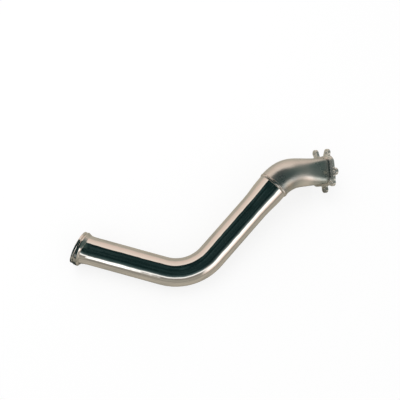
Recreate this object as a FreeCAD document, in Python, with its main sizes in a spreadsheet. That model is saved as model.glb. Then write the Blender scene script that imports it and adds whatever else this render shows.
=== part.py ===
import FreeCAD, Part
import math
import os
import Sketcher

# Turbo downpipe: a mandrel-bent tube with a swelled end, welded to a bellmouth elbow
# that turns out of the tube's plane and squares up to a six-lug turbo flange. The other
# end of the tube opens out and carries a turned clamp ring.
#
# Frames. The tube's frame has its origin where the centrelines of the two straights
# cross, +X along the riser towards the turbo, and +Z square to the plane of the bend.
# The elbow's frame sits on the joint, +Z along the riser and +X towards the centre of
# the elbow's bend. The port's frame sits on the flange's welded face, +Z out of the
# port and +X towards the upper side of the port. The clamp ring's frame sits on its
# welded face, +Z out of the outlet. At the end everything is laid on the ground on the
# three places where the real pipe touches it.

SIZES = [
    ("tube_od", 76.2, "outside diameter of the tube, a 3 inch tube"),
    ("tube_wall", 1.6, "wall of the tube, 16 gauge"),
    ("bend_angle", 63.8, "turn of the bend, degrees"),
    ("bend_radius", 127.0, "centreline radius of the bend"),
    ("tail_length", 279.9, "bend vertex to where the tail opens out, along the centreline"),
    ("riser_length", 337.9, "bend vertex to the joint with the elbow"),
    ("flare_length", 24.0, "length over which the tail opens out to the clamp ring"),
    ("flare_rise", 5.5, "how far the flared end stands over the tube, on the radius"),
    ("swell_rise", 3.9, "how far the swelled end stands over the tube, on the radius"),
    ("swell_length", 72.0, "length over which the tube opens out"),
    ("swell_neck", 12.0, "parallel length of the swelled end"),
    ("elbow_wall", 4.0, "wall of the elbow"),
    ("elbow_step", 2.0, "how far the elbow stands over the swelled end, on the radius"),
    ("elbow_roll", 30.3, "roll of the elbow's bend out of the tube's plane, degrees"),
    ("elbow_turn", 45.7, "turn of the elbow, degrees"),
    ("elbow_radius", 90.0, "centreline radius of the elbow"),
    ("elbow_lead", 5.0, "straight of the elbow before its bend"),
    ("elbow_reach", 85.0, "straight of the elbow from its bend to the mouth's lip"),
    ("belly_height_loss", 0.5, "how much lower the elbow is in its bend than at the joint"),
    ("belly_width_loss", 2.0, "how much narrower the elbow is in its bend than at the joint"),
    ("throat_height", 78.5, "outside height behind the mouth"),
    ("throat_width", 77.0, "outside width behind the mouth"),
    ("throat_share", 0.4, "place of the throat along the elbow's reach"),
    ("port_height", 75.0, "outside height of the squared mouth"),
    ("port_width", 75.0, "outside width of the squared mouth"),
    ("mouth_lip", 5.0, "straight lip of the elbow at the flange"),
    ("port_squareness", 4.5, "exponent of the mouth's outline, 2 is round"),
    ("port_clock", 162.4, "turn of the port about its axis, degrees"),
    ("port_drop", 3.0, "drop of the port below the bolt circle's centre"),
    ("plate_thickness", 8.0, "thickness of the turbo flange"),
    ("plate_top", 39.0, "bolt circle's centre to the plate's upper edge"),
    ("plate_bottom", 46.0, "bolt circle's centre to the plate's lower edge"),
    ("plate_near", 51.5, "bolt circle's centre to the plate's near edge"),
    ("plate_far", 46.0, "bolt circle's centre to the plate's far edge"),
    ("plate_corner", 22.0, "corner radius of the plate"),
    ("bolt_circle", 112.0, "bolt circle diameter of the turbo flange"),
    ("bolt_hole", 10.5, "bolt hole diameter of the turbo flange"),
    ("lug_width", 20.0, "width of a lug"),
    ("lug_neck", 14.0, "width of a lug at its root"),
    ("lug_root", 32.0, "distance of a lug's root from the bolt circle's centre"),
    ("lug_angle_a", -23.0, "angle of the first lug, degrees"),
    ("lug_angle_b", 32.0, "angle of the second lug, degrees"),
    ("lug_angle_c", 98.5, "angle of the third lug, degrees"),
    ("lug_angle_d", 133.5, "angle of the fourth lug, degrees"),
    ("lug_angle_e", 173.5, "angle of the fifth lug, degrees"),
    ("lug_angle_f", 257.0, "angle of the sixth lug, degrees"),
    ("lug_root_fillet", 3.0, "fillet where a lug leaves the plate"),
    ("plate_chamfer", 0.6, "chamfer round the turbo flange"),
    ("ring_tilt", 9.2, "tilt of the clamp ring to the tube, degrees"),
    ("ring_offset", 1.6, "drop of the clamp ring from the line of the tail"),
    ("ring_length", 14.5, "length of the clamp ring"),
    ("ring_step", 1.5, "how far the ring's bore stands inside the flared end, on the radius"),
    ("ring_lip_height", 4.5, "height of the ring's end lip over its bore"),
    ("ring_lip_width", 6.0, "width of the ring's end lip"),
    ("ring_groove_depth", 1.4, "depth of the ring's groove behind the lip"),
    ("ring_groove_width", 2.4, "width of the ring's groove"),
    ("ring_land_height", 6.0, "height of the ring's land over its bore"),
    ("ring_chamfer", 1.0, "chamfer of the ring's mouth"),
    ("elbow_bead_width", 9.0, "width of the weld between tube and elbow"),
    ("elbow_bead_height", 2.2, "height of that weld over the tube"),
    ("flange_bead_leg", 3.0, "leg of the weld between elbow and flange"),
    ("outlet_bead_leg", 3.0, "leg of the weld behind the clamp ring"),
    ("outlet_bead_toe", 1.0, "height of that weld over the flared end at its toe"),
    ("outlet_bead_drop", 0.4, "drop of that weld under the ring's land"),
    ("lay_angle", 48.3, "direction of the riser as the pipe lies, degrees"),
]
LUGS = "abcdef"
SECTION_POINTS = 24
FLARE_STEPS = 2
LEAST_CUT = 1e-3
LEAST_STEP = 1e-6
THROAT_SQUARING = 0.2

AXIS_X = FreeCAD.Vector(1, 0, 0)
AXIS_Y = FreeCAD.Vector(0, 1, 0)
AXIS_Z = FreeCAD.Vector(0, 0, 1)
ORIGIN = FreeCAD.Vector(0, 0, 0)
H_AXIS, V_AXIS = -1, -2
START, END, CENTRE = 1, 2, 3


doc = FreeCAD.newDocument("turbo_downpipe")
sheet = doc.addObject("Spreadsheet::Sheet", "Sizes")
for row, (alias, value, note) in enumerate(SIZES, start=1):
    sheet.set("A%d" % row, alias)
    sheet.set("B%d" % row, str(value))
    sheet.set("C%d" % row, note)
    sheet.setAlias("B%d" % row, alias)
doc.recompute()


def size(alias):
    return float(getattr(sheet, alias))


# Helpers


def new_body(label):
    body = doc.addObject("PartDesign::Body", label)
    body.Label = label
    return body


def origin_plane(body, role):
    return [feature for feature in body.Origin.OriginFeatures if feature.Role == role][0]


def new_sketch(body, name, role):
    sketch = body.newObject("Sketcher::SketchObject", name)
    sketch.AttachmentSupport = [(origin_plane(body, role), "")]
    sketch.MapMode = "FlatFace"
    return sketch


def dimension(sketch, kind, formula, value, *places):
    """Adds one dimension at its first value, then ties it to the sheet."""
    index = sketch.addConstraint(Sketcher.Constraint(kind, *places, value))
    sketch.setExpression("Constraints[%d]" % index, formula)


def rule(sketch, kind, *places):
    sketch.addConstraint(Sketcher.Constraint(kind, *places))


def line(sketch, start, end):
    return sketch.addGeometry(
        Part.LineSegment(FreeCAD.Vector(*start, 0), FreeCAD.Vector(*end, 0)), False
    )


def arc(sketch, centre, radius, first, last):
    circle = Part.Circle(FreeCAD.Vector(*centre, 0), AXIS_Z, radius)
    return sketch.addGeometry(Part.ArcOfCircle(circle, first, last), False)


def circle_sketch(body, name, role, formula, value):
    """A circle about the sketch's origin."""
    sketch = new_sketch(body, name, role)
    ring = sketch.addGeometry(Part.Circle(ORIGIN, AXIS_Z, value / 2), False)
    rule(sketch, "Coincident", ring, CENTRE, H_AXIS, START)
    dimension(sketch, "Diameter", formula, value, ring)
    return sketch


def turned(angle_deg, axis=AXIS_Z):
    return FreeCAD.Rotation(axis, angle_deg)


def volume_fell(before, after, what):
    if not after < before - LEAST_CUT:
        raise RuntimeError(what + " removed nothing")


# Radii that several pieces share

tube_r = size("tube_od") / 2
flare_r = tube_r + size("flare_rise")
bore_r = flare_r - size("tube_wall") - size("ring_step")
land_r = bore_r + size("ring_land_height")
swell_r = tube_r + size("swell_rise")
inlet_r = swell_r + size("elbow_step")

# Frames of the pieces, in the tube's frame


bend = math.radians(size("bend_angle"))
tail_way = FreeCAD.Vector(-math.cos(bend), math.sin(bend), 0)
tail_end = tail_way * (size("tail_length") + size("flare_length"))

# the ring leans from the tail towards the inner side of the bend
ring_heading = 180 - size("bend_angle") - size("ring_tilt")
ring_way = FreeCAD.Vector(
    math.cos(math.radians(ring_heading)), math.sin(math.radians(ring_heading)), 0
)
ring_down = ring_way.cross(AXIS_Z) * -1
ring_frame = FreeCAD.Placement(
    tail_end + ring_down * size("ring_offset"), FreeCAD.Rotation(ring_down, AXIS_Z, ring_way, "ZXY")
)

joint = AXIS_X * size("riser_length")
elbow_frame = FreeCAD.Placement(joint, FreeCAD.Rotation(AXIS_Y * -1, AXIS_Z * -1, AXIS_X, "ZXY"))
elbow_frame = elbow_frame.multiply(FreeCAD.Placement(ORIGIN, turned(size("elbow_roll"))))


def elbow_station(turn_deg, run):
    """Frame of the elbow's centreline after part of its turn and a run past it."""
    turn = math.radians(turn_deg)
    radius = size("elbow_radius")
    way = FreeCAD.Vector(math.sin(turn), 0, math.cos(turn))
    place = FreeCAD.Vector(radius * (1 - math.cos(turn)), 0, radius * math.sin(turn))
    place = place + AXIS_Z * size("elbow_lead")
    clock = turned(turn_deg, AXIS_Y).multiply(turned(size("port_clock")))
    return FreeCAD.Placement(place + way * run, clock)


full_reach = size("elbow_reach") + size("mouth_lip")
port_frame = elbow_frame.multiply(elbow_station(size("elbow_turn"), full_reach))


# Main tube


def main_tube():
    body = new_body("main_tube")
    start_x = size("riser_length") - size("swell_length") - size("swell_neck")
    tangent = size("bend_radius") * math.tan(bend / 2)
    tail_length = size("tail_length")

    path = new_sketch(body, "tube_centreline", "XY_Plane")
    riser = line(path, (start_x, 0), (tangent, 0))
    centre = (tangent, size("bend_radius"))
    turn = arc(path, centre, size("bend_radius"), -math.pi / 2 - bend, -math.pi / 2)
    near = tail_way * tangent
    far = tail_way * tail_length
    tail = line(path, (near.x, near.y), (far.x, far.y))
    rule(path, "PointOnObject", riser, START, H_AXIS)
    rule(path, "Horizontal", riser)
    rule(path, "Tangent", riser, END, turn, END)
    rule(path, "Tangent", turn, START, tail, START)
    rule(path, "PointOnObject", H_AXIS, START, tail)
    dimension(path, "DistanceX", "Sizes.riser_length - Sizes.swell_length - Sizes.swell_neck",
              start_x, H_AXIS, START, riser, START)
    dimension(path, "Radius", "Sizes.bend_radius", size("bend_radius"), turn)
    dimension(path, "Distance", "Sizes.tail_length", tail_length, H_AXIS, START, tail, END)
    dimension(path, "Angle", "(180 - Sizes.bend_angle) * 1 deg",
              math.pi - bend, H_AXIS, tail)

    skin = circle_sketch(body, "tube_outside", "YZ_Plane", "Sizes.tube_od", size("tube_od"))
    hollow = circle_sketch(body, "tube_inside", "YZ_Plane",
                           "Sizes.tube_od - 2 * Sizes.tube_wall",
                           size("tube_od") - 2 * size("tube_wall"))
    for sketch in (skin, hollow):
        sketch.setExpression("AttachmentOffset.Base.z",
                             "Sizes.riser_length - Sizes.swell_length - Sizes.swell_neck")
    doc.recompute()

    outside = body.newObject("PartDesign::AdditivePipe", "bent_tube")
    outside.Profile = (skin, [""])
    outside.Spine = (path, [])
    doc.recompute()
    flare_loft(body, "AdditiveLoft", "flare_outside", 0)
    solid_volume = body.Shape.Volume
    inside = body.newObject("PartDesign::SubtractivePipe", "bent_bore")
    inside.Profile = (hollow, [""])
    inside.Spine = (path, [])
    doc.recompute()
    volume_fell(solid_volume, body.Shape.Volume, "the tube's bore")
    piped_volume = body.Shape.Volume
    flare_loft(body, "SubtractiveLoft", "flare_inside", 1)
    volume_fell(piped_volume, body.Shape.Volume, "the flare's bore")

    # the swelled end opens on two tangent arcs, then runs parallel to the joint
    wall = size("tube_wall")
    rise = size("swell_rise")
    run = size("swell_length")
    end_x = start_x + run
    joint_x = size("riser_length")
    half = 2 * math.atan2(rise, run)
    sweep_r = run / (2 * math.sin(half))
    mouth = new_sketch(body, "swelled_end", "XY_Plane")
    up = -math.pi / 2
    arcs = {}
    for name, drop in (("outer", 0), ("inner", wall)):
        low = arc(mouth, (start_x, tube_r - drop + sweep_r), sweep_r, up, up + half)
        high = arc(mouth, (end_x, swell_r - drop - sweep_r), sweep_r, -up, -up + half)
        rule(mouth, "Tangent", low, END, high, END)
        rule(mouth, "Vertical", low, CENTRE, low, START)
        rule(mouth, "Vertical", high, CENTRE, high, START)
        arcs[name] = (low, high)
    neck_out = line(mouth, (end_x, swell_r), (joint_x, swell_r))
    edge = line(mouth, (joint_x, swell_r), (joint_x, swell_r - wall))
    neck_in = line(mouth, (joint_x, swell_r - wall), (end_x, swell_r - wall))
    root = line(mouth, (start_x, tube_r - wall), (start_x, tube_r))
    rule(mouth, "Coincident", arcs["outer"][1], START, neck_out, START)
    rule(mouth, "Coincident", neck_out, END, edge, START)
    rule(mouth, "Coincident", edge, END, neck_in, START)
    rule(mouth, "Coincident", neck_in, END, arcs["inner"][1], START)
    rule(mouth, "Coincident", arcs["inner"][0], START, root, START)
    rule(mouth, "Coincident", root, END, arcs["outer"][0], START)
    rule(mouth, "Horizontal", neck_out)
    rule(mouth, "Horizontal", neck_in)
    rule(mouth, "Vertical", edge)
    rule(mouth, "Vertical", root)
    dimension(mouth, "DistanceX", "Sizes.riser_length - Sizes.swell_length - Sizes.swell_neck",
              start_x, H_AXIS, START, root, END)
    dimension(mouth, "DistanceX", "Sizes.riser_length - Sizes.swell_neck",
              end_x, H_AXIS, START, neck_out, START)
    dimension(mouth, "DistanceX", "Sizes.riser_length - Sizes.swell_neck",
              end_x, H_AXIS, START, neck_in, END)
    dimension(mouth, "DistanceX", "Sizes.riser_length", joint_x, H_AXIS, START, edge, START)
    dimension(mouth, "DistanceY", "Sizes.tube_od / 2", tube_r, H_AXIS, START, root, END)
    dimension(mouth, "DistanceY", "Sizes.tube_od / 2 - Sizes.tube_wall",
              tube_r - wall, H_AXIS, START, root, START)
    dimension(mouth, "DistanceY", "Sizes.tube_od / 2 + Sizes.swell_rise",
              swell_r, H_AXIS, START, neck_out, START)
    dimension(mouth, "DistanceY", "Sizes.tube_od / 2 + Sizes.swell_rise - Sizes.tube_wall",
              swell_r - wall, H_AXIS, START, neck_in, START)
    doc.recompute()
    swell = body.newObject("PartDesign::Revolution", "swell")
    swell.Profile = (mouth, [""])
    swell.ReferenceAxis = (mouth, ["H_Axis"])
    swell.Angle = 360
    doc.recompute()
    return body


def flare_loft(body, kind, name, walls):
    """The flared end's outside, or with one wall taken off its inside."""
    sections = [flare_section(body, "%s_%d" % (name, step), step / FLARE_STEPS, walls)
                for step in range(FLARE_STEPS + 1)]
    doc.recompute()
    loft = body.newObject("PartDesign::" + kind, name)
    loft.Profile = (sections[0], [""])
    loft.Sections = [(section, [""]) for section in sections[1:]]
    doc.recompute()


def flare_section(body, name, share, walls):
    """A circle that grows and leans over to the clamp ring with the square of its share."""
    formula = "Sizes.tube_od + 2 * Sizes.flare_rise * %g" % share ** 2
    formula = formula + " - 2 * Sizes.tube_wall * %d" % walls
    across = 2 * (tube_r + size("flare_rise") * share ** 2 - size("tube_wall") * walls)
    section = circle_sketch(body, name, "YZ_Plane", formula, across)
    run = "(Sizes.tail_length + Sizes.flare_length * %g)" % share
    drop = "Sizes.ring_offset * %g" % share ** 2
    ring = "(180 - Sizes.bend_angle - Sizes.ring_tilt) * 1 deg"
    section.AttachmentOffset = FreeCAD.Placement(ORIGIN, turned(1, AXIS_Y))
    section.setExpression("AttachmentOffset.Base.x",
                          run + " * sin(Sizes.bend_angle * 1 deg) + " + drop + " * cos(%s)" % ring)
    section.setExpression("AttachmentOffset.Base.z",
                          "-" + run + " * cos(Sizes.bend_angle * 1 deg) - " + drop + " * sin(%s)" % ring)
    section.setExpression("AttachmentOffset.Rotation.Angle",
                          "(180 - Sizes.bend_angle - Sizes.ring_tilt * %g) * 1 deg" % share)
    return section


# Clamp ring at the outlet


def outlet_flange():
    body = new_body("outlet_flange")
    length = size("ring_length")
    lip_r = bore_r + size("ring_lip_height")
    groove_r = lip_r - size("ring_groove_depth")
    lip_x = length - size("ring_lip_width")
    groove_x = lip_x - size("ring_groove_width")
    soft = size("ring_chamfer")
    # each corner: radius, height over the welded face, and the formulas of both
    heights = {
        "back": "0",
        "groove": "Sizes.ring_length - Sizes.ring_lip_width - Sizes.ring_groove_width",
        "lip": "Sizes.ring_length - Sizes.ring_lip_width",
        "shoulder": "Sizes.ring_length - Sizes.ring_chamfer",
        "mouth": "Sizes.ring_length",
    }
    bore = "Sizes.tube_od / 2 + Sizes.flare_rise - Sizes.tube_wall - Sizes.ring_step"
    radii = {
        "bore": bore,
        "flare": bore + " + Sizes.ring_chamfer",
        "land": bore + " + Sizes.ring_land_height",
        "groove": bore + " + Sizes.ring_lip_height - Sizes.ring_groove_depth",
        "lip": bore + " + Sizes.ring_lip_height",
        "rim": bore + " + Sizes.ring_lip_height - Sizes.ring_chamfer",
    }
    corners = [
        (bore_r, 0, "bore", "back"),
        (land_r, 0, "land", "back"),
        (land_r, groove_x, "land", "groove"),
        (groove_r, groove_x, "groove", "groove"),
        (groove_r, lip_x, "groove", "lip"),
        (lip_r, lip_x, "lip", "lip"),
        (lip_r, length - soft, "lip", "shoulder"),
        (lip_r - soft, length, "rim", "mouth"),
        (bore_r + soft, length, "flare", "mouth"),
        (bore_r, length - soft, "bore", "shoulder"),
    ]
    profile = new_sketch(body, "ring_section", "XZ_Plane")
    count = len(corners)
    sides = [line(profile, corners[i][:2], corners[(i + 1) % count][:2]) for i in range(count)]
    for i in range(count):
        rule(profile, "Coincident", sides[i], END, sides[(i + 1) % count], START)
    for side, (radius, height, across, along) in zip(sides, corners):
        dimension(profile, "DistanceX", radii[across], radius, H_AXIS, START, side, START)
        if along == "back":
            rule(profile, "PointOnObject", side, START, H_AXIS)
        else:
            dimension(profile, "DistanceY", heights[along], height, H_AXIS, START, side, START)
    doc.recompute()
    ring = body.newObject("PartDesign::Revolution", "turned_ring")
    ring.Profile = (profile, [""])
    ring.ReferenceAxis = (profile, ["V_Axis"])
    ring.Angle = 360
    doc.recompute()
    return body


# Bellmouth elbow


def port_outline(half_x, half_y, squareness):
    """A closed smooth outline: round at squareness 2, and squarer above it."""
    points = []
    for i in range(SECTION_POINTS):
        angle = 2 * math.pi * i / SECTION_POINTS
        across = abs(math.cos(angle) / half_x) ** squareness
        upright = abs(math.sin(angle) / half_y) ** squareness
        reach = (across + upright) ** (-1 / squareness)
        points.append(FreeCAD.Vector(reach * math.cos(angle), reach * math.sin(angle), 0))
    # equal steps keep the knots of all sections in line, so the lofts stay light
    steps = [i / SECTION_POINTS for i in range(SECTION_POINTS + 1)]
    curve = Part.BSplineCurve()
    curve.interpolate(Points=points, PeriodicFlag=True, Parameters=steps)
    return Part.Wire([curve.toShape()])


def section_at(name, place, half_x, half_y, squareness):
    section = doc.addObject("Part::Feature", name)
    section.Shape = port_outline(half_x, half_y, squareness)
    section.Placement = place
    return section


def elbow_sections(name, drop):
    """Sections of the elbow from the inlet to the mouth, each drop inside the outside."""
    turn, reach = size("elbow_turn"), size("elbow_reach")
    belly = (inlet_r - size("belly_height_loss") / 2, inlet_r - size("belly_width_loss") / 2)
    throat = (size("throat_height") / 2, size("throat_width") / 2)
    mouth = (size("port_height") / 2, size("port_width") / 2)
    leading = ((inlet_r + belly[0]) / 2, (inlet_r + belly[1]) / 2)
    leaving = ((belly[0] + throat[0]) / 2, (belly[1] + throat[1]) / 2)
    square = size("port_squareness")
    throat_square = 2 + (square - 2) * THROAT_SQUARING
    # the lip and the mouth have one outline, so the elbow ends in a short straight skirt
    stations = [
        ("inlet", 0, -size("elbow_lead"), (inlet_r, inlet_r), 2),
        ("lead", 0, 0, leading, 2),
        ("belly", turn / 2, 0, belly, 2),
        ("leaving", turn, 0, leaving, 2),
        ("throat", turn, reach * size("throat_share"), throat, throat_square),
        ("lip", turn, reach, mouth, square),
        ("mouth", turn, full_reach, mouth, square),
    ]
    sections = []
    for place, angle, run, (half_x, half_y), exponent in stations:
        frame = elbow_station(angle, run)
        label = "%s_%s" % (name, place)
        sections.append(section_at(label, frame, half_x - drop, half_y - drop, exponent))
    return sections


def loft(name, sections):
    body = doc.addObject("Part::Loft", name)
    body.Sections = sections
    body.Solid = True
    body.Ruled = False
    return body


def cut(label, base, tool):
    result = doc.addObject("Part::Cut", label)
    result.Base = base
    result.Tool = tool
    result.Label = label
    return result


def bellmouth_elbow():
    outside = loft("elbow_outside", elbow_sections("outer", 0))
    inside = loft("elbow_inside", elbow_sections("inner", size("elbow_wall")))
    return cut("bellmouth_elbow", outside, inside)


# Turbo flange


def plate_body():
    body = new_body("flange_plate")
    core = new_sketch(body, "plate_outline", "XY_Plane")
    top, bottom = size("plate_top"), -size("plate_bottom")
    near, far = size("plate_near"), -size("plate_far")
    corner = size("plate_corner")
    turns = [
        (top - corner, near - corner, 0),
        (bottom + corner, near - corner, 90),
        (bottom + corner, far + corner, 180),
        (top - corner, far + corner, 270),
    ]
    arcs = []
    for x, y, first in turns:
        arcs.append(arc(core, (x, y), corner, math.radians(first), math.radians(first + 90)))
    # each side runs from the end of one corner to the start of the next
    ends = [
        ((top - corner, near), (bottom + corner, near)),
        ((bottom, near - corner), (bottom, far + corner)),
        ((bottom + corner, far), (top - corner, far)),
        ((top, far + corner), (top, near - corner)),
    ]
    sides = [line(core, start, end) for start, end in ends]
    for i in range(4):
        rule(core, "Tangent", arcs[i], END, sides[i], START)
        rule(core, "Tangent", sides[i], END, arcs[(i + 1) % 4], START)
        dimension(core, "Radius", "Sizes.plate_corner", corner, arcs[i])
    rule(core, "Horizontal", sides[0])
    rule(core, "Vertical", sides[1])
    dimension(core, "DistanceY", "Sizes.plate_near", near, H_AXIS, START, sides[0], START)
    dimension(core, "DistanceY", "Sizes.plate_far", -far, sides[2], START, H_AXIS, START)
    dimension(core, "DistanceX", "Sizes.plate_top", top, H_AXIS, START, sides[3], START)
    dimension(core, "DistanceX", "Sizes.plate_bottom", -bottom, sides[1], START, H_AXIS, START)
    doc.recompute()
    plate = body.newObject("PartDesign::Pad", "plate")
    plate.Profile = (core, [""])
    plate.setExpression("Length", "Sizes.plate_thickness")
    doc.recompute()

    pitch = size("bolt_circle") / 2
    half = size("lug_width") / 2
    root_x = size("lug_root")
    root_y = size("lug_neck") / 2
    slope = math.asin(half / math.hypot(pitch - root_x, root_y)) - math.atan2(root_y, pitch - root_x)
    tip = (pitch - half * math.sin(slope), half * math.cos(slope))
    for letter in LUGS:
        outline = new_sketch(body, "lug_outline_" + letter, "XY_Plane")
        quarter = math.pi / 2 + slope
        nose = arc(outline, (pitch, 0), half, -quarter, quarter)
        upper = line(outline, tip, (root_x, root_y))
        root = line(outline, (root_x, root_y), (root_x, -root_y))
        lower = line(outline, (root_x, -root_y), (tip[0], -tip[1]))
        rule(outline, "Tangent", nose, END, upper, START)
        rule(outline, "Coincident", upper, END, root, START)
        rule(outline, "Coincident", root, END, lower, START)
        rule(outline, "Tangent", lower, END, nose, START)
        rule(outline, "Symmetric", root, START, root, END, H_AXIS)
        rule(outline, "PointOnObject", nose, CENTRE, H_AXIS)
        dimension(outline, "DistanceX", "Sizes.bolt_circle / 2", pitch, H_AXIS, START, nose, CENTRE)
        dimension(outline, "DistanceX", "Sizes.lug_root", root_x, H_AXIS, START, root, START)
        dimension(outline, "DistanceY", "Sizes.lug_neck", 2 * root_y, root, END, root, START)
        dimension(outline, "Radius", "Sizes.lug_width / 2", half, nose)
        outline.setExpression("AttachmentOffset.Rotation.Angle",
                              "Sizes.lug_angle_%s * 1 deg" % letter)
        doc.recompute()
        lug = body.newObject("PartDesign::Pad", "lug_" + letter)
        lug.Profile = (outline, [""])
        lug.setExpression("Length", "Sizes.plate_thickness")
        doc.recompute()

    roots = body.newObject("PartDesign::Fillet", "lug_roots")
    roots.Base = (lug, inner_corners(lug.Shape))
    roots.setExpression("Radius", "Sizes.lug_root_fillet")
    doc.recompute()
    before = body.Shape.Volume
    edges = body.newObject("PartDesign::Chamfer", "plate_edges")
    edges.Base = (roots, rim_edges(roots.Shape, size("plate_thickness")))
    edges.setExpression("Size", "Sizes.plate_chamfer")
    doc.recompute()
    volume_fell(before, body.Shape.Volume, "the chamfer round the plate")

    for letter in LUGS:
        before = body.Shape.Volume
        centre = new_sketch(body, "hole_outline_" + letter, "XY_Plane")
        hole = centre.addGeometry(
            Part.Circle(AXIS_X * pitch, AXIS_Z, size("bolt_hole") / 2), False
        )
        rule(centre, "PointOnObject", hole, CENTRE, H_AXIS)
        dimension(centre, "DistanceX", "Sizes.bolt_circle / 2", pitch, H_AXIS, START, hole, CENTRE)
        dimension(centre, "Diameter", "Sizes.bolt_hole", size("bolt_hole"), hole)
        centre.setExpression("AttachmentOffset.Rotation.Angle",
                             "Sizes.lug_angle_%s * 1 deg" % letter)
        doc.recompute()
        drilled = body.newObject("PartDesign::Pocket", "hole_" + letter)
        drilled.Profile = (centre, [""])
        drilled.Reversed = True
        drilled.Type = "ThroughAll"
        doc.recompute()
        volume_fell(before, body.Shape.Volume, "bolt hole " + letter)
    return body


def inner_corners(shape):
    """Names of the upright edges where a lug's side meets the plate."""
    names = []
    for index, edge in enumerate(shape.Edges, start=1):
        first, last = edge.firstVertex().Point, edge.lastVertex().Point
        way = last - first
        if way.Length < LEAST_STEP or abs(abs(way.z) - way.Length) > LEAST_STEP:
            continue
        middle = (first + last) * 0.5
        inside = 0
        for i in range(16):
            angle = math.pi * i / 8
            probe = middle + FreeCAD.Vector(math.cos(angle), math.sin(angle), 0) * 0.05
            inside += shape.isInside(probe, LEAST_STEP, False)
        if inside > 9:
            names.append("Edge%d" % index)
    return names


def rim_edges(shape, height):
    """Names of the edges round both faces of the plate."""
    names = []
    for index, edge in enumerate(shape.Edges, start=1):
        box = edge.BoundBox
        on_face = min(abs(box.ZMin), abs(box.ZMin - height)) < LEAST_STEP
        if box.ZLength < LEAST_STEP and on_face:
            names.append("Edge%d" % index)
    return names


def turbo_flange():
    plate = plate_body()
    section = section_at(
        "port_section",
        FreeCAD.Placement(AXIS_X * -size("port_drop"), FreeCAD.Rotation()),
        size("port_height") / 2 - size("elbow_wall"),
        size("port_width") / 2 - size("elbow_wall"),
        size("port_squareness"),
    )
    port = doc.addObject("Part::Extrusion", "port_opening")
    port.Base = section
    port.DirMode = "Custom"
    port.Dir = AXIS_Z
    port.Solid = True
    port.Symmetric = True
    port.setExpression("LengthFwd", "4 * Sizes.plate_thickness")
    doc.recompute()
    return cut("turbo_flange", plate, port)


# Welds


def elbow_weld():
    """A crowned bead round the joint, which seats on the swelled end and the elbow's lip."""
    body = new_body("elbow_weld")
    half = size("elbow_bead_width") / 2
    step_up = size("elbow_step")
    crown = size("elbow_bead_height")
    chord = math.hypot(2 * half, step_up)
    radius = (chord * chord / 4 + crown * crown) / (2 * crown)
    lean = math.atan2(step_up, 2 * half)
    span = math.asin(chord / 2 / radius)
    middle_x = (swell_r + inlet_r) / 2 - (radius - crown) * math.cos(lean)
    profile = new_sketch(body, "bead_section", "XZ_Plane")
    cap = arc(profile, (middle_x, (radius - crown) * math.sin(lean)), radius,
              -lean - span, -lean + span)
    on_elbow = line(profile, (inlet_r, half), (inlet_r, 0))
    step = line(profile, (inlet_r, 0), (swell_r, 0))
    on_tube = line(profile, (swell_r, 0), (swell_r, -half))
    rule(profile, "Coincident", cap, END, on_elbow, START)
    rule(profile, "Coincident", on_elbow, END, step, START)
    rule(profile, "Coincident", step, END, on_tube, START)
    rule(profile, "Coincident", on_tube, END, cap, START)
    rule(profile, "Vertical", on_elbow)
    rule(profile, "Vertical", on_tube)
    rule(profile, "PointOnObject", step, START, H_AXIS)
    rule(profile, "PointOnObject", step, END, H_AXIS)
    swelled = "Sizes.tube_od / 2 + Sizes.swell_rise"
    dimension(profile, "DistanceX", swelled + " + Sizes.elbow_step",
              inlet_r, H_AXIS, START, step, START)
    dimension(profile, "DistanceX", swelled, swell_r, H_AXIS, START, step, END)
    dimension(profile, "DistanceY", "Sizes.elbow_bead_width / 2",
              half, H_AXIS, START, on_elbow, START)
    dimension(profile, "DistanceY", "Sizes.elbow_bead_width / 2", half, on_tube, END, H_AXIS, START)
    dimension(profile, "Radius",
              "((Sizes.elbow_bead_width ^ 2 + Sizes.elbow_step ^ 2) / 4"
              " + Sizes.elbow_bead_height ^ 2) / (2 * Sizes.elbow_bead_height)", radius, cap)
    doc.recompute()
    bead = body.newObject("PartDesign::Revolution", "bead")
    bead.Profile = (profile, [""])
    bead.ReferenceAxis = (profile, ["V_Axis"])
    bead.Angle = 360
    doc.recompute()
    return body


def flange_weld():
    """A fillet weld round the elbow's skirt, on the flange's back face."""
    leg = size("flange_bead_leg")
    mouth = elbow_station(size("elbow_turn"), full_reach)
    behind = elbow_station(size("elbow_turn"), full_reach - leg)
    half_x, half_y = size("port_height") / 2, size("port_width") / 2
    square = size("port_squareness")
    sunk = size("elbow_wall") / 4
    wide = section_at("bead_foot", mouth, half_x + leg, half_y + leg, square)
    slim = section_at("bead_toe", behind, half_x - sunk, half_y - sunk, square)
    skirt = doc.addObject("Part::Extrusion", "mouth_skirt")
    skirt.Base = section_at("skirt_start", elbow_station(size("elbow_turn"), size("elbow_reach")),
                            half_x, half_y, square)
    skirt.DirMode = "Normal"
    skirt.Solid = True
    skirt.setExpression("LengthFwd", "Sizes.mouth_lip")
    return cut("flange_weld", loft("bead_cone", [wide, slim]), skirt)


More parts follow.
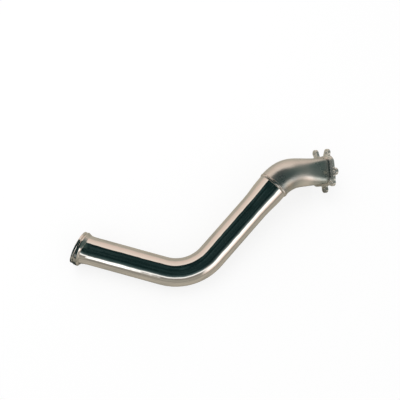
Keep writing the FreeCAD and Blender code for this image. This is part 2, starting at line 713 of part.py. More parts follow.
def outlet_weld():
    """A fillet weld in the corner between the tail's flared end and the clamp ring."""
    body = new_body("outlet_weld")
    leg = size("outlet_bead_leg")
    steepness = 2 * size("flare_rise") / size("flare_length")
    toe_r = flare_r - steepness * leg + size("outlet_bead_toe")
    crown_r = land_r - size("outlet_bead_drop")
    profile = new_sketch(body, "outlet_bead_section", "XY_Plane")
    ring = "(180 - Sizes.bend_angle - Sizes.ring_tilt) * 1 deg"
    run = "(Sizes.tail_length + Sizes.flare_length)"
    profile.setExpression("AttachmentOffset.Base.x",
                          "-" + run + " * cos(Sizes.bend_angle * 1 deg)"
                          " - Sizes.ring_offset * sin(%s)" % ring)
    profile.setExpression("AttachmentOffset.Base.y",
                          run + " * sin(Sizes.bend_angle * 1 deg)"
                          " + Sizes.ring_offset * cos(%s)" % ring)
    profile.setExpression("AttachmentOffset.Rotation.Angle", ring)
    corners = [(0, tube_r), (0, crown_r), (-leg, toe_r), (-leg, tube_r)]
    sides = [line(profile, corners[i], corners[(i + 1) % 4]) for i in range(4)]
    for i in range(4):
        rule(profile, "Coincident", sides[i], END, sides[(i + 1) % 4], START)
    rule(profile, "Vertical", sides[0])
    rule(profile, "Vertical", sides[2])
    rule(profile, "Horizontal", sides[3])
    rule(profile, "PointOnObject", sides[0], START, V_AXIS)
    dimension(profile, "DistanceX", "Sizes.outlet_bead_leg", leg, sides[2], END, sides[0], START)
    dimension(profile, "DistanceY", "Sizes.tube_od / 2", tube_r, H_AXIS, START, sides[0], START)
    dimension(profile, "DistanceY",
              "Sizes.tube_od / 2 + Sizes.flare_rise - Sizes.tube_wall - Sizes.ring_step"
              " + Sizes.ring_land_height - Sizes.outlet_bead_drop",
              crown_r, H_AXIS, START, sides[1], START)
    dimension(profile, "DistanceY",
              "Sizes.tube_od / 2 + Sizes.flare_rise + Sizes.outlet_bead_toe"
              " - 2 * Sizes.flare_rise / Sizes.flare_length * Sizes.outlet_bead_leg",
              toe_r, H_AXIS, START, sides[2], START)
    doc.recompute()
    bead = body.newObject("PartDesign::Revolution", "outlet_bead")
    bead.Profile = (profile, [""])
    bead.ReferenceAxis = (profile, ["H_Axis"])
    bead.Angle = 360
    doc.recompute()
    before = body.Shape.Volume
    flare_loft(body, "SubtractiveLoft", "bead_seat", 0)
    volume_fell(before, body.Shape.Volume, "the seat of the outlet's weld")
    return body


# Lay the pipe on the ground


def surface_points(piece, frame):
    points = piece.Shape.tessellate(0.1)[0]
    return [frame.multVec(point) for point in points]


def lying_frame(clouds):
    """The frame in which the pipe rests on one point of each of three pieces."""
    up = FreeCAD.Vector(AXIS_Z)
    for _ in range(12):
        touches = [min(cloud, key=lambda point: point.dot(up)) for cloud in clouds]
        up = (touches[1] - touches[0]).cross(touches[2] - touches[0])
        if up.z < 0:
            up = up * -1
        up.normalize()
    level = FreeCAD.Placement(ORIGIN, FreeCAD.Rotation(up, AXIS_Z))
    return FreeCAD.Placement(ORIGIN, turned(size("lay_angle"))).multiply(level)


tube = main_tube()
ring = outlet_flange()
elbow = bellmouth_elbow()
flange = turbo_flange()
joint_weld = elbow_weld()
mouth_weld = flange_weld()
tail_weld = outlet_weld()
doc.recompute()

flange_frame = port_frame.multiply(
    FreeCAD.Placement(AXIS_X * size("port_drop"), FreeCAD.Rotation())
)
frames = [
    (tube, FreeCAD.Placement()),
    (ring, ring_frame),
    (elbow, elbow_frame),
    (flange, flange_frame),
    (joint_weld, elbow_frame),
    (mouth_weld, elbow_frame),
    (tail_weld, FreeCAD.Placement()),
]
clouds = {piece.Label: surface_points(piece, frame) for piece, frame in frames}
lie = lying_frame([clouds["outlet_flange"], clouds["main_tube"], clouds["turbo_flange"]])
laid = [lie.multVec(point) for cloud in clouds.values() for point in cloud]
xs = [point.x for point in laid]
ys = [point.y for point in laid]
zs = [point.z for point in laid]
shift = FreeCAD.Vector(-(min(xs) + max(xs)) / 2, -(min(ys) + max(ys)) / 2, -min(zs))
lie.Base = lie.Base + shift
for piece, frame in frames:
    piece.Placement = lie.multiply(frame)
doc.recompute()

# Check every object, then write one file for each piece
for item in doc.Objects:
    if "Invalid" in item.State or "Error" in item.State:
        raise RuntimeError("%s failed: %s" % (item.Label, item.State))
os.makedirs("parts", exist_ok=True)
for piece, _ in frames:
    shape = piece.Shape
    if shape.isNull() or not shape.isValid():
        raise RuntimeError(piece.Label + " has no valid shape")
    shape.exportStep(os.path.join("parts", piece.Label + ".step"))
    print("%-16s %d solid, %.1f cm3" % (piece.Label, len(shape.Solids), shape.Volume / 1000))
box = FreeCAD.BoundBox()
for piece, _ in frames:
    box.add(piece.Shape.optimalBoundingBox())
print("box %.2f %.2f %.2f to %.2f %.2f %.2f" % (
    box.XMin, box.YMin, box.ZMin, box.XMax, box.YMax, box.ZMax))
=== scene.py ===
import math

import bpy
from mathutils import Matrix, Vector


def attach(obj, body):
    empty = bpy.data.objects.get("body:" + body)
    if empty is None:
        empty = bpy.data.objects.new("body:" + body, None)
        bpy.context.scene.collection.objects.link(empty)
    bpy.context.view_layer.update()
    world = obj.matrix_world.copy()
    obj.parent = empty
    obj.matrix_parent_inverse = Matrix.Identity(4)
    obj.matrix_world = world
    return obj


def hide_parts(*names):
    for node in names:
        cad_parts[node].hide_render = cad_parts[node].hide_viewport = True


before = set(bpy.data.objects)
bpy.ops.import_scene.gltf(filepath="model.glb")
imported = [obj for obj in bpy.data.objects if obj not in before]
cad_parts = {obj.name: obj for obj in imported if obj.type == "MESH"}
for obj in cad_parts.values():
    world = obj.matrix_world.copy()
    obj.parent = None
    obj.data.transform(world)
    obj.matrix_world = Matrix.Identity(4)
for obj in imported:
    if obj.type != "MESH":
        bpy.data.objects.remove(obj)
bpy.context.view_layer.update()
scene = bpy.context.scene

# Places in the rest frame, in metres, and ways as unit vectors, as the solids have them. The
# flange and the ring face along their axes, the tube's straight legs are its tail and its riser,
# RING_DOWN is the ring's lowest side and PORT_SIDE runs across the port.

FLANGE_AXIS = Vector((0.933603, 0.184237, -0.307315))
RING_AXIS = Vector((-0.909315, 0.410056, 0.070711))
TAIL_WAY = Vector((-0.96405, 0.2632, 0.03659))
RISER_WAY = Vector((0.6632, 0.72698, 0.17795))
RING_BACK = Vector((-0.332314, -0.094932, 0.046379))
RING_DOWN = Vector((-0.415497, -0.885565, -0.207697))
JOINT = Vector((0.18542, 0.072146, 0.095718))
PORT = Vector((0.333319, 0.12692, 0.064044))
PORT_SIDE = Vector((-0.0934, 0.9529, 0.2876))

# Sizes that the added pieces share with the solids

TUBE_R = 0.0381
SWELL_R = 0.0420
INLET_R = 0.0440
JOINT_BEAD_HALF = 0.0045
JOINT_BEAD_HEIGHT = 0.0014
FLARE_RISE = 0.0055
FLARE_LENGTH = 0.024
RING_LENGTH = 0.0145
RING_BORE_R = 0.0405
RING_LIP_R = 0.04495
RING_LAND_R = 0.04644
PORT_HALF = 0.0375
PORT_SQUARENESS = 4.5
PORT_BEAD_LEG = 0.003

# Camera: its place and the ways of its axes

CAMERA_PLACE = (-0.07046, -0.32534, 1.24445)
CAMERA_RIGHT = (0.99901, -0.00989, 0.04335)
CAMERA_UP = (-0.00336, 0.95541, 0.29525)
CAMERA_BACK = (-0.04434, -0.29510, 0.95444)
LENS_MM = 40
SENSOR_MM = 36


def make_camera():
    data = bpy.data.cameras.new("camera")
    data.lens = LENS_MM
    data.sensor_width = SENSOR_MM
    camera = bpy.data.objects.new("camera", data)
    axes = Matrix((CAMERA_RIGHT, CAMERA_UP, CAMERA_BACK)).transposed()
    camera.matrix_world = Matrix.Translation(CAMERA_PLACE) @ axes.to_4x4()
    scene.collection.objects.link(camera)
    scene.camera = camera


# Node helpers

def put(tree, kind, inputs=None, **settings):
    """Adds a node; inputs are linked where they are sockets and set where they are values."""
    node = tree.nodes.new(kind)
    for name, value in settings.items():
        setattr(node, name, value)
    for key, value in (inputs or {}).items():
        if isinstance(value, bpy.types.NodeSocket):
            tree.links.new(value, node.inputs[key])
        else:
            node.inputs[key].default_value = value
    return node


def calc(tree, operation, first, second=0.0):
    """One step of arithmetic on one or two values."""
    return put(tree, "ShaderNodeMath", {0: first, 1: second}, operation=operation).outputs[0]


def dot(tree, vector, direction):
    return put(tree, "ShaderNodeVectorMath", {0: vector, 1: tuple(direction)},
               operation="DOT_PRODUCT").outputs["Value"]


def remap(tree, value, low, high, to_low, to_high, smooth=False):
    """A range of values laid on another, and held at its ends."""
    kind = "SMOOTHSTEP" if smooth else "LINEAR"
    inputs = {"Value": value, "From Min": low, "From Max": high,
              "To Min": to_low, "To Max": to_high}
    return put(tree, "ShaderNodeMapRange", inputs, interpolation_type=kind).outputs[0]


def blend_colours(tree, share, first, second):
    node = put(tree, "ShaderNodeMix", {0: share}, data_type="RGBA")
    for key, value in ((6, first), (7, second)):
        if isinstance(value, bpy.types.NodeSocket):
            tree.links.new(value, node.inputs[key])
        else:
            node.inputs[key].default_value = (*value, 1)
    return node.outputs[2]


def colour_ramp(tree, value, stops):
    """Colours at stops between nothing and one."""
    node = put(tree, "ShaderNodeValToRGB", {0: value})
    ramp = node.color_ramp
    while len(ramp.elements) < len(stops):
        ramp.elements.new(1)
    for element, (place, colour) in zip(ramp.elements, stops):
        element.position = place
        element.color = (*colour, 1)
    return node.outputs[0]


def noise(tree, vector, scale, detail=2.0, rough=0.5):
    inputs = {"Vector": vector, "Scale": scale, "Detail": detail, "Roughness": rough}
    return put(tree, "ShaderNodeTexNoise", inputs).outputs[0]


def stretched(tree, vector, way, factor):
    """Coordinates squeezed along one direction, so that a pattern runs long that way."""
    way = Vector(way).normalized()
    turn = way.to_track_quat("X", "Z").to_euler()
    inputs = {"Vector": vector, "Rotation": turn, "Scale": (factor, 1, 1)}
    return put(tree, "ShaderNodeMapping", inputs, vector_type="TEXTURE").outputs[0]


# The studio that the metal reflects: linear colours by zenith angle in degrees

DARK = (0.006, 0.018, 0.018)
WARM_SIDE = (
    (0, DARK), (40, DARK), (44.8, (0.02, 0.03, 0.03)), (47.2, (1.02, 0.88, 0.78)),
    (56, (0.90, 0.77, 0.68)), (76, (0.84, 0.67, 0.58)), (90, (0.74, 0.61, 0.53)),
)
STRIP_SIDE = (
    (0, DARK), (34, DARK), (46, (0.07, 0.11, 0.11)), (52, (0.23, 0.27, 0.26)),
    (57, (1.80, 1.80, 1.77)), (73.5, (1.80, 1.80, 1.77)), (77, (0.46, 0.42, 0.38)),
    (83, (0.30, 0.275, 0.235)), (90, (0.28, 0.26, 0.225)),
)
BEND_SIDE = (
    (0, DARK), (34, DARK), (44, (0.07, 0.11, 0.11)), (50, (0.28, 0.32, 0.31)),
    (53.5, (1.35, 1.35, 1.33)), (58, (1.15, 1.13, 1.10)), (62.5, (0.30, 0.275, 0.25)),
    (70, (0.28, 0.26, 0.22)), (80, (0.36, 0.335, 0.285)), (90, (0.42, 0.39, 0.325)),
)
STRIP_RIGHT = (
    (0, DARK), (34, DARK), (45, (0.06, 0.09, 0.09)), (53, (0.22, 0.26, 0.25)),
    (56.5, (1.45, 1.42, 1.38)), (74, (1.45, 1.38, 1.33)), (83, (0.98, 0.80, 0.70)),
    (90, (0.80, 0.64, 0.55)),
)
FAR_SIDE = (
    (0, (0.02, 0.035, 0.032)), (28, (0.035, 0.065, 0.058)), (54, (0.045, 0.075, 0.068)),
    (70, (0.13, 0.16, 0.15)), (80, (0.36, 0.33, 0.30)), (90, (0.46, 0.41, 0.36)),
)
LEFT_SIDE = (
    (0, DARK), (76, DARK), (84, (0.05, 0.06, 0.055)), (90, (0.30, 0.28, 0.24)),
)

# Where each side is seen, in radians of azimuth: it fades in from the first to the second and
# out from the third to the fourth. LEFT_SPAN counts from -X, where azimuth itself would wrap.

STRIP_SPAN = (-2.25, -1.95, -1.84, -1.70)
BEND_SPAN = (-1.98, -1.84, -1.20, -0.95)
STRIP_RIGHT_SPAN = (-1.20, -0.95, -0.52, -0.36)
FAR_SPAN = (-0.52, -0.36, 0.70, 1.10)
LEFT_SPAN = (-0.55, -0.35, 1.15, 1.25)

# The warm side lies lower past an azimuth, by a share of half a turn, and a thin teal haze
# drifts over all sides

LOWERED_FROM, LOWERED_TO = 1.6, 2.2
LOWERED_BY = 0.026
TEAL = (0.016, 0.028, 0.028)
DRIFT_SCALE = 4.5
WORLD_LIGHT = 0.8


def within(tree, azimuth, span):
    """One inside a span of azimuths in radians, and nothing outside it."""
    rises = remap(tree, azimuth, span[0], span[1], 0, 1, smooth=True)
    falls = remap(tree, azimuth, span[2], span[3], 1, 0, smooth=True)
    return calc(tree, "MULTIPLY", rises, falls)


def by_zenith(tree, zenith, stops):
    return colour_ramp(tree, zenith, [(angle / 180, colour) for angle, colour in stops])


def make_world():
    """White to the camera, even light for the floor, and a studio of sides to the metal."""
    world = bpy.data.worlds.new("studio")
    world.use_nodes = True
    scene.world = world
    tree = world.node_tree
    tree.nodes.clear()
    way = put(tree, "ShaderNodeTexCoord").outputs["Generated"]
    parts = put(tree, "ShaderNodeSeparateXYZ", {0: way}).outputs
    zenith = calc(tree, "DIVIDE", calc(tree, "ARCCOSINE", parts[2]), math.pi)
    azimuth = calc(tree, "ARCTAN2", parts[1], parts[0])
    left = calc(tree, "ARCTAN2", calc(tree, "MULTIPLY", parts[1], -1.0),
                calc(tree, "MULTIPLY", parts[0], -1.0))
    lowered = calc(tree, "SUBTRACT", zenith,
                   remap(tree, azimuth, LOWERED_FROM, LOWERED_TO, 0, LOWERED_BY))
    seen_in_metal = blend_colours(tree, within(tree, left, LEFT_SPAN),
                                  by_zenith(tree, lowered, WARM_SIDE),
                                  by_zenith(tree, zenith, LEFT_SIDE))
    sides = ((STRIP_SPAN, STRIP_SIDE), (BEND_SPAN, BEND_SIDE),
             (STRIP_RIGHT_SPAN, STRIP_RIGHT), (FAR_SPAN, FAR_SIDE))
    for span, stops in sides:
        seen_in_metal = blend_colours(tree, within(tree, azimuth, span), seen_in_metal,
                                      by_zenith(tree, zenith, stops))
    drift = remap(tree, noise(tree, way, DRIFT_SCALE, 3, 0.6), 0.42, 0.66, 0, 1, smooth=True)
    seen_in_metal = put(tree, "ShaderNodeMix", {0: drift, 6: seen_in_metal, 7: (*TEAL, 1)},
                        data_type="RGBA", blend_type="ADD").outputs[2]
    path = put(tree, "ShaderNodeLightPath")
    plain = (WORLD_LIGHT, WORLD_LIGHT, WORLD_LIGHT)
    mirrored = calc(tree, "MAXIMUM", path.outputs["Is Glossy Ray"],
                    path.outputs["Is Transmission Ray"])
    reflected = blend_colours(tree, mirrored, plain, seen_in_metal)
    colour = blend_colours(tree, path.outputs["Is Camera Ray"], reflected, (1, 1, 1))
    shade = put(tree, "ShaderNodeBackground", {"Color": colour, "Strength": 1.0})
    put(tree, "ShaderNodeOutputWorld", {"Surface": shade.outputs[0]})


# Floor and lamp. The metal sees the floor in its own tones, dark just beyond the clamp ring.

FLOOR_SIZE = 40
FLOOR_SHADE = 0.22
FLOOR_IN_METAL = (0.52, 0.475, 0.395)
FLOOR_DUSKY = (0.36, 0.345, 0.295)
FLOOR_BEYOND = (0.05, 0.06, 0.055)
BY_THE_MOUTH = (-0.44, -0.14, 0.0)
BEYOND_FULL, BEYOND_END = 0.075, 0.105
FLOOR_AFAR = (0.32, 0.30, 0.26)
FLOOR_AFAR_WARM = (0.72, 0.61, 0.53)
WARM_WAY = (-0.35, 0.94, 0)
AFAR_FROM, AFAR_TO = 0.3, 1.3
LAMP_SIZE = 1.6
LAMP_WATTS = 14
LAMP_PLACE = (-0.6, 0.7, 2.2)


def make_floor():
    bpy.ops.mesh.primitive_plane_add(size=FLOOR_SIZE)
    floor = bpy.context.object
    floor.name = "floor"
    material = bpy.data.materials.new("floor")
    material.use_nodes = True
    tree = material.node_tree
    tree.nodes.clear()
    pale = put(tree, "ShaderNodeBsdfDiffuse", {"Color": (FLOOR_SHADE,) * 3 + (1,)})
    glow = put(tree, "ShaderNodeEmission", {"Color": (1, 1, 1, 1), "Strength": 1 - FLOOR_SHADE})
    seen = put(tree, "ShaderNodeAddShader", {0: pale.outputs[0], 1: glow.outputs[0]})
    place = put(tree, "ShaderNodeTexCoord").outputs["Object"]
    away = put(tree, "ShaderNodeVectorMath", {0: place}, operation="LENGTH").outputs["Value"]
    warm = remap(tree, dot(tree, place, WARM_WAY), -0.3, 0.6, 0, 1)
    afar = blend_colours(tree, warm, FLOOR_AFAR, FLOOR_AFAR_WARM)
    near = blend_colours(tree, remap(tree, noise(tree, place, 9, 3, 0.6), 0.45, 0.68, 0, 1),
                         FLOOR_IN_METAL, FLOOR_DUSKY)
    tone = blend_colours(tree, remap(tree, away, AFAR_FROM, AFAR_TO, 0, 1), near, afar)
    gap = put(tree, "ShaderNodeVectorMath", {0: place, 1: BY_THE_MOUTH}, operation="DISTANCE")
    beyond = remap(tree, gap.outputs["Value"], BEYOND_FULL, BEYOND_END, 1, 0, smooth=True)
    tone = blend_colours(tree, beyond, tone, FLOOR_BEYOND)
    board = put(tree, "ShaderNodeBsdfDiffuse", {"Color": tone})
    path = put(tree, "ShaderNodeLightPath")
    both = put(tree, "ShaderNodeMixShader",
               {0: path.outputs["Is Camera Ray"], 1: board.outputs[0], 2: seen.outputs[0]})
    put(tree, "ShaderNodeOutputMaterial", {"Surface": both.outputs[0]})
    floor.data.materials.append(material)


def make_lamp():
    data = bpy.data.lights.new("soft_box", "AREA")
    data.shape = "DISK"
    data.size = LAMP_SIZE
    data.energy = LAMP_WATTS
    lamp = bpy.data.objects.new("soft_box", data)
    lamp.location = LAMP_PLACE
    lamp.rotation_euler = (-lamp.location).to_track_quat("-Z", "Y").to_euler()
    lamp.visible_glossy = False
    scene.collection.objects.link(lamp)


# Materials: colours, least and most roughness, and where they change in the rest frame

POLISHED = (0.80, 0.775, 0.745)
POLISHED_SMUDGED = (0.755, 0.73, 0.70)
POLISHED_ROUGH = (0.045, 0.095)
TAIL_END_X, RISER_START_X = -0.11, 0.02
TURNED = (0.77, 0.745, 0.71)
TURNED_MARKED = (0.36, 0.38, 0.34)
TURNED_ROUGH = (0.05, 0.16)
MARKS_START, MARKS_FULL = 0.236, 0.248
SATIN = (0.74, 0.735, 0.695)
SATIN_CLOUDED = (0.69, 0.675, 0.635)
SATIN_ROUGH = (0.27, 0.34)
SATIN_METALLIC = 0.97
BRUSHED = (0.80, 0.795, 0.74)
BRUSHED_MOTTLED = (0.56, 0.56, 0.50)
BRUSHED_RIM = (0.66, 0.655, 0.60)
BRUSHED_ROUGH = (0.12, 0.25)
BRUSHED_METALLIC = 0.77
WELD = (0.76, 0.735, 0.70)
WELD_PATCHED = (0.46, 0.43, 0.38)
WELD_ROUGH = (0.12, 0.30)

# Patches of painted shade and painted highlight on the elbow and the flange: a centre, the
# distances at which the patch starts to fade and ends, its share at the centre and its colour

ELBOW_PAINTED_SHADE_AND_HIGHLIGHT = (
    # painted shade: a darker patch by the joint that dims the elbow's highlight there
    ((0.2160, 0.0680, 0.1270), 0.010, 0.050, 0.78, (0.30, 0.34, 0.335)),
    # painted shade: a darker, greener patch near the top of the mouth
    ((0.3180, 0.1150, 0.1000), 0.012, 0.060, 0.60, (0.36, 0.42, 0.40)),
    # painted highlight: a lighter, warm patch on the middle of the elbow
    ((0.2750, 0.0930, 0.0960), 0.010, 0.032, 0.90, (0.99, 0.93, 0.87)),
    # painted shade: a darker patch low by the mouth, laid over the highlight
    ((0.3300, 0.0960, 0.0850), 0.006, 0.030, 0.60, (0.28, 0.34, 0.32)),
    # painted shade: a darker, warmer patch by the joint's weld
    ((0.2183, 0.0692, 0.1180), 0.006, 0.026, 0.75, (0.64, 0.56, 0.46)),
)
FLANGE_PAINTED_SHADE = (
    # painted shade: a dark patch on one lug
    ((0.3413, 0.0720, 0.0554), 0.006, 0.015, 0.90, (0.28, 0.29, 0.26)),
)


def metal(name, colour):
    """A plain metal: its material, node tree, shader and places in the rest frame."""
    material = bpy.data.materials.new(name)
    material.use_nodes = True
    tree = material.node_tree
    shader = tree.nodes["Principled BSDF"]
    shader.inputs["Base Color"].default_value = (*colour, 1)
    shader.inputs["Metallic"].default_value = 1
    place = put(tree, "ShaderNodeTexCoord").outputs["Object"]
    return material, tree, shader, place


def bump(tree, shader, layers):
    """Stacks bump layers, each a height and the depth in metres that it stands for."""
    normal = None
    for height, depth in layers:
        inputs = {"Height": height, "Distance": depth, "Strength": 1.0}
        if normal is not None:
            inputs["Normal"] = normal
        normal = put(tree, "ShaderNodeBump", inputs).outputs[0]
    tree.links.new(normal, shader.inputs["Normal"])


def with_painted_light(tree, place, tone, painted_patches):
    """A tone with patches of painted shade and highlight laid on it, each round its own centre."""
    for centre, near, far, share, painted_colour in painted_patches:
        gap = put(tree, "ShaderNodeVectorMath", {0: place, 1: centre}, operation="DISTANCE")
        shares = remap(tree, gap.outputs["Value"], near, far, share, 0, smooth=True)
        tone = blend_colours(tree, shares, tone, painted_colour)
    return tone


def polished_stainless():
    """Polished tube, with faint lines along each leg and soft waves in its reflections."""
    material, tree, shader, place = metal("polished_stainless", POLISHED)
    along_tail = noise(tree, stretched(tree, place, TAIL_WAY, 30), 900, 2)
    along_riser = noise(tree, stretched(tree, place, RISER_WAY, 30), 900, 2)
    leg = remap(tree, put(tree, "ShaderNodeSeparateXYZ", {0: place}).outputs[0],
                TAIL_END_X, RISER_START_X, 0, 1, smooth=True)
    lines = put(tree, "ShaderNodeMix", {0: leg, 2: along_tail, 3: along_riser}).outputs[0]
    smudges = remap(tree, noise(tree, place, 26, 5, 0.62), 0.52, 0.72, 0, 1, smooth=True)
    rough = calc(tree, "ADD", remap(tree, smudges, 0, 1, *POLISHED_ROUGH),
                 calc(tree, "MULTIPLY", lines, 0.02))
    tree.links.new(rough, shader.inputs["Roughness"])
    tone = blend_colours(tree, smudges, POLISHED, POLISHED_SMUDGED)
    tree.links.new(tone, shader.inputs["Base Color"])
    waves = noise(tree, place, 14, 1)
    ripples = noise(tree, place, 34, 1)
    bump(tree, shader, ((waves, 0.0009), (ripples, 0.0005), (lines, 0.000004)))
    return material


def turned_stainless():
    """Turned ring, with fine grooves round it and marks on its lower side."""
    material, tree, shader, place = metal("turned_stainless", TURNED)
    depth = dot(tree, place, RING_AXIS)
    grooves = noise(tree, put(tree, "ShaderNodeCombineXYZ", {0: depth}).outputs[0], 2600, 2)
    patches = noise(tree, place, 90, 4, 0.6)
    down = dot(tree, place, RING_DOWN)
    low = remap(tree, down, MARKS_START, MARKS_FULL, 0.12, 1, smooth=True)
    marked = calc(tree, "MULTIPLY", remap(tree, patches, 0.46, 0.62, 0, 1), low)
    rough = remap(tree, marked, 0, 1, *TURNED_ROUGH)
    tree.links.new(rough, shader.inputs["Roughness"])
    tone = blend_colours(tree, marked, TURNED, TURNED_MARKED)
    tree.links.new(tone, shader.inputs["Base Color"])
    bump(tree, shader, ((grooves, 0.000003), (marked, 0.00003)))
    return material


def satin_stainless():
    """Blasted elbow, with patches of painted shade and a painted highlight laid on its colour."""
    material, tree, shader, place = metal("satin_stainless", SATIN)
    shader.inputs["Metallic"].default_value = SATIN_METALLIC
    grain = noise(tree, place, 1500, 3, 0.6)
    streaks = noise(tree, stretched(tree, place, FLANGE_AXIS, 14), 420, 3)
    clouds = noise(tree, place, 22, 4, 0.6)
    rough = remap(tree, clouds, 0.35, 0.68, *SATIN_ROUGH)
    tree.links.new(rough, shader.inputs["Roughness"])
    tone = blend_colours(tree, remap(tree, clouds, 0.4, 0.7, 0, 1), SATIN, SATIN_CLOUDED)
    # The elbow's tone gets its patches of painted shade and painted highlight here.
    tree.links.new(with_painted_light(tree, place, tone, ELBOW_PAINTED_SHADE_AND_HIGHLIGHT), shader.inputs["Base Color"])
    bump(tree, shader, ((clouds, 0.00025), (streaks, 0.00002), (grain, 0.000012)))
    return material


def flange_steel():
    """Brushed flange, mottled on its faces and duller round its rim."""
    material, tree, shader, place = metal("flange_steel", BRUSHED)
    shader.inputs["Metallic"].default_value = BRUSHED_METALLIC
    across = Vector((0, 0, 1)).cross(FLANGE_AXIS)
    brushing = noise(tree, stretched(tree, place, across, 25), 700, 3)
    patches = noise(tree, place, 70, 4, 0.6)
    normal = put(tree, "ShaderNodeNewGeometry").outputs["Normal"]
    facing = calc(tree, "ABSOLUTE", dot(tree, normal, FLANGE_AXIS))
    rim = remap(tree, facing, 0.3, 0.8, 1, 0, smooth=True)
    rough = calc(tree, "ADD", remap(tree, patches, 0.35, 0.7, *BRUSHED_ROUGH),
                 calc(tree, "MULTIPLY", rim, 0.08))
    tree.links.new(rough, shader.inputs["Roughness"])
    mottled = blend_colours(tree, remap(tree, patches, 0.48, 0.66, 0, 1),
                            BRUSHED, BRUSHED_MOTTLED)
    tone = blend_colours(tree, rim, mottled, BRUSHED_RIM)
    # The flange's tone gets a patch of painted shade on one lug here.
    tree.links.new(with_painted_light(tree, place, tone, FLANGE_PAINTED_SHADE), shader.inputs["Base Color"])
    bump(tree, shader, ((brushing, 0.00004), (patches, 0.00010)))
    return material


def weld_metal():
    """Weld beads, patchy in tone and gloss."""
    material, tree, shader, place = metal("weld_bead", WELD)
    patches = noise(tree, place, 160, 4, 0.6)
    rough = remap(tree, patches, 0.35, 0.7, *WELD_ROUGH)
    tree.links.new(rough, shader.inputs["Roughness"])
    tone = blend_colours(tree, remap(tree, patches, 0.45, 0.65, 0, 1), WELD, WELD_PATCHED)
    tree.links.new(tone, shader.inputs["Base Color"])
    bump(tree, shader, ((patches, 0.0003),))
    return material


# Weld beads, in metres. A scallop's height is a share of the bead's rise, it trails at the toes
# by a share of the pitch, and slow swings (share, pace and start) keep the scallops from being
# all alike.

BEAD_STEPS = 8
STEPS_ROUND = 840
SMALL_TURN = 0.001
BEAD_PITCH = 0.0025
BEAD_SINK = 0.0006
SCALLOP_LEAST = 0.62
SCALLOP_RISE = 0.38
SCALLOP_TRAIL = 0.7
SWINGS = ((0.06, 0.37, 0), (0.05, 0.11, 1))
JOINT_BEAD_PITCH = 0.0036
PORT_BEAD_RISE = 0.0006
OUTLET_BEAD_RISE = 0.0005
OUTLET_BEAD_LEG = 0.0016
OUTLET_BEAD_TOP = 0.0006
OUTLET_OUT, OUTLET_BACK = 0.8, -0.6

# Clamp ring, in metres: heights along its axis from its plane of reference, and radii

RING_STEPS = 240
BACK_LEAST = 0.0036
MITRE_LENGTH = 0.0052
RUN_OUT_LENGTH = 0.0094
BACK_SINK = 0.0008
BACK_EDGE = 0.0005
SHOULDER_TOP = 0.0036
SHOULDER_DROP = 0.0094
SHOULDER_ROLL = 0.0007
LAND_FRONT = 0.0048
GROOVE_R = 0.0425
GROOVE_AT = 0.0065
LIP_BACK = 0.0094
SLOPE = 0.0005
CHAMFER = 0.0003
MOUTH_CHAMFER = 0.0010
EDGE_WIDTH = 0.00015
EDGE_ANGLE = math.radians(20)


def placed(origin, way, side):
    """A frame with +Z along way and +X along side."""
    z = way.normalized()
    y = z.cross(side).normalized()
    x = y.cross(z)
    return Matrix.Translation(origin) @ Matrix((x, y, z)).transposed().to_4x4()


def closed_skin(name, loops, place, material):
    """A closed band: each loop is one cross-section, and the last joins the first."""
    count = len(loops[0])
    total = len(loops)
    points = [place @ point for loop in loops for point in loop]
    faces = []
    for i in range(total):
        here, there = i * count, (i + 1) % total * count
        for k in range(count):
            after = (k + 1) % count
            faces.append((here + k, there + k, there + after, here + after))
    mesh = bpy.data.meshes.new(name)
    mesh.from_pydata(points, [], faces)
    mesh.materials.append(material)
    mesh.shade_smooth()
    piece = bpy.data.objects.new(name, mesh)
    scene.collection.objects.link(piece)
    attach(piece, "root")
    return piece


def stand_in(node):
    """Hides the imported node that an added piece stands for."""
    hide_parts(node)


def radial(angle, radius, height):
    return Vector((radius * math.cos(angle), radius * math.sin(angle), height))


def weld_bead(name, stations, rise, pitch, place, material):
    """A bead with the overlapping scallops of a hand-fed weld.

    Each station gives the bead's two toes and the way out between them.
    """
    runs = [0.0]
    for i in range(len(stations)):
        step = stations[(i + 1) % len(stations)][0] - stations[i][0]
        runs.append(runs[-1] + step.length)
    scallops = round(runs[-1] / pitch)
    loops = []
    for run, (low, high, out) in zip(runs, stations):
        loop = []
        for k in range(BEAD_STEPS + 1):
            share = k / BEAD_STEPS
            phase = run / runs[-1] * scallops - SCALLOP_TRAIL * (2 * share - 1) ** 2
            scallop = SCALLOP_LEAST + SCALLOP_RISE * abs(math.sin(math.pi * phase))
            swing = sum(part * math.sin(phase * pace + start) for part, pace, start in SWINGS)
            crown = 4 * share * (1 - share) * rise * (scallop + swing)
            loop.append(low.lerp(high, share) + out * crown)
        loop.append(high - out * BEAD_SINK)
        loop.append(low - out * BEAD_SINK)
        loops.append(loop)
    return closed_skin(name, loops, place, material)


def joint_bead(material):
    """The bead between the swelled tube and the elbow."""
    stations = []
    for i in range(STEPS_ROUND):
        angle = 2 * math.pi * i / STEPS_ROUND
        low = radial(angle, SWELL_R, -JOINT_BEAD_HALF)
        high = radial(angle, INLET_R, JOINT_BEAD_HALF)
        stations.append((low, high, radial(angle, 1, 0)))
    place = placed(JOINT, RISER_WAY, Vector((0, 0, 1)))
    piece = weld_bead("joint_bead", stations, JOINT_BEAD_HEIGHT, JOINT_BEAD_PITCH, place, material)
    stand_in("elbow_weld")


def port_reach(angle):
    """How far the elbow's squared mouth reaches from its middle, by its superellipse."""
    across = abs(math.cos(angle) / PORT_HALF) ** PORT_SQUARENESS
    upright = abs(math.sin(angle) / PORT_HALF) ** PORT_SQUARENESS
    return (across + upright) ** (-1 / PORT_SQUARENESS)


def port_point(angle):
    return radial(angle, port_reach(angle), 0)


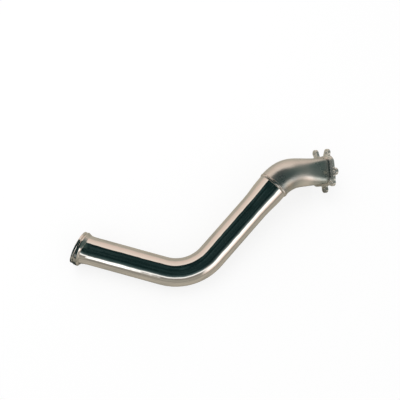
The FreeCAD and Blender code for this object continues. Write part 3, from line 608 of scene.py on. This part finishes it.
def port_bead(material):
    """The fillet bead between the elbow's squared mouth and the turbo flange."""
    stations = []
    for i in range(STEPS_ROUND):
        angle = 2 * math.pi * i / STEPS_ROUND
        here = port_point(angle)
        along = port_point(angle + SMALL_TURN) - port_point(angle - SMALL_TURN)
        out = along.cross(Vector((0, 0, 1))).normalized()
        low = here + Vector((0, 0, -PORT_BEAD_LEG))
        high = here + out * PORT_BEAD_LEG
        stations.append((low, high, (out - Vector((0, 0, 1))).normalized()))
    place = placed(PORT, FLANGE_AXIS, PORT_SIDE)
    piece = weld_bead("port_bead", stations, PORT_BEAD_RISE, BEAD_PITCH, place, material)
    stand_in("flange_weld")


def ring_back(angle):
    """The ring's back ends in a mitre below, and tapers out along the tube above."""
    low = max(0.0, math.cos(angle)) ** 1.5
    high = max(0.0, -math.cos(angle)) ** 2
    return -BACK_LEAST - MITRE_LENGTH * low - RUN_OUT_LENGTH * high


def ring_shoulder(angle):
    """The land ends in a mitre, so it is longest on the ring's lower side."""
    return SHOULDER_TOP - SHOULDER_DROP * ((1 + math.cos(angle)) / 2) ** 1.5


def flare_radius(height):
    """The outside of the tail's end, which opens out to the ring."""
    share = 1 + height / FLARE_LENGTH
    return TUBE_R + FLARE_RISE * share ** 2


def clamp_ring(material):
    """The turned ring: lip, tapered groove and wedge-shaped land, with a tapered back.

    Its section runs from the bore round the back, over the land, groove and lip to the mouth.
    """
    loops = []
    for i in range(RING_STEPS):
        angle = 2 * math.pi * i / RING_STEPS
        back = ring_back(angle)
        land_end = ring_shoulder(angle)
        section = (
            (RING_BORE_R, 0), (flare_radius(back) - BACK_SINK, back - 0.0004),
            (flare_radius(back) + BACK_EDGE, back - 0.0002),
            (RING_LAND_R - 0.0004, land_end - SHOULDER_ROLL), (RING_LAND_R, land_end),
            (RING_LAND_R, LAND_FRONT), (RING_LAND_R - CHAMFER, LAND_FRONT + SLOPE),
            (GROOVE_R + 0.0002, GROOVE_AT - CHAMFER), (GROOVE_R, GROOVE_AT),
            (GROOVE_R + 0.0002, GROOVE_AT + CHAMFER),
            (RING_LIP_R - CHAMFER, LIP_BACK - SLOPE), (RING_LIP_R, LIP_BACK),
            (RING_LIP_R, RING_LENGTH - MOUTH_CHAMFER),
            (RING_LIP_R - CHAMFER, RING_LENGTH - CHAMFER),
            (RING_LIP_R - MOUTH_CHAMFER, RING_LENGTH),
            (RING_BORE_R + MOUTH_CHAMFER, RING_LENGTH),
            (RING_BORE_R, RING_LENGTH - MOUTH_CHAMFER),
        )
        loops.append([radial(angle, radius, height) for radius, height in section])
    piece = closed_skin("clamp_ring", loops, placed(RING_BACK, RING_AXIS, RING_DOWN), material)
    edges = piece.modifiers.new("edges", "BEVEL")
    edges.width = EDGE_WIDTH
    edges.segments = 2
    edges.limit_method = "ANGLE"
    edges.angle_limit = EDGE_ANGLE
    edges.harden_normals = True
    stand_in("outlet_flange")


def outlet_bead(material):
    """The bead between the ring's mitred back and the flared end of the tail."""
    stations = []
    for i in range(STEPS_ROUND):
        angle = 2 * math.pi * i / STEPS_ROUND
        back = ring_back(angle)
        low = radial(angle, flare_radius(back - OUTLET_BEAD_LEG), back - OUTLET_BEAD_LEG)
        high = radial(angle, flare_radius(back) + OUTLET_BEAD_TOP, back + 0.0002)
        stations.append((low, high, radial(angle, OUTLET_OUT, OUTLET_BACK)))
    place = placed(RING_BACK, RING_AXIS, RING_DOWN)
    piece = weld_bead("outlet_bead", stations, OUTLET_BEAD_RISE, BEAD_PITCH, place, material)
    stand_in("outlet_weld")


def dress():
    """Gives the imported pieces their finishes, and adds the pieces that stand for the others."""
    finishes = {
        "main_tube": polished_stainless(),
        "bellmouth_elbow": satin_stainless(),
        "turbo_flange": flange_steel(),
    }
    for name, material in finishes.items():
        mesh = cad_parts[name].data
        if not mesh.materials:
            mesh.materials.append(material)
        for i in range(len(mesh.materials)):
            mesh.materials[i] = material
    weld = weld_metal()
    joint_bead(weld)
    port_bead(weld)
    outlet_bead(weld)
    clamp_ring(turned_stainless())


make_camera()
make_world()
make_floor()
make_lamp()
dress()
scene.view_settings.view_transform = "Standard"
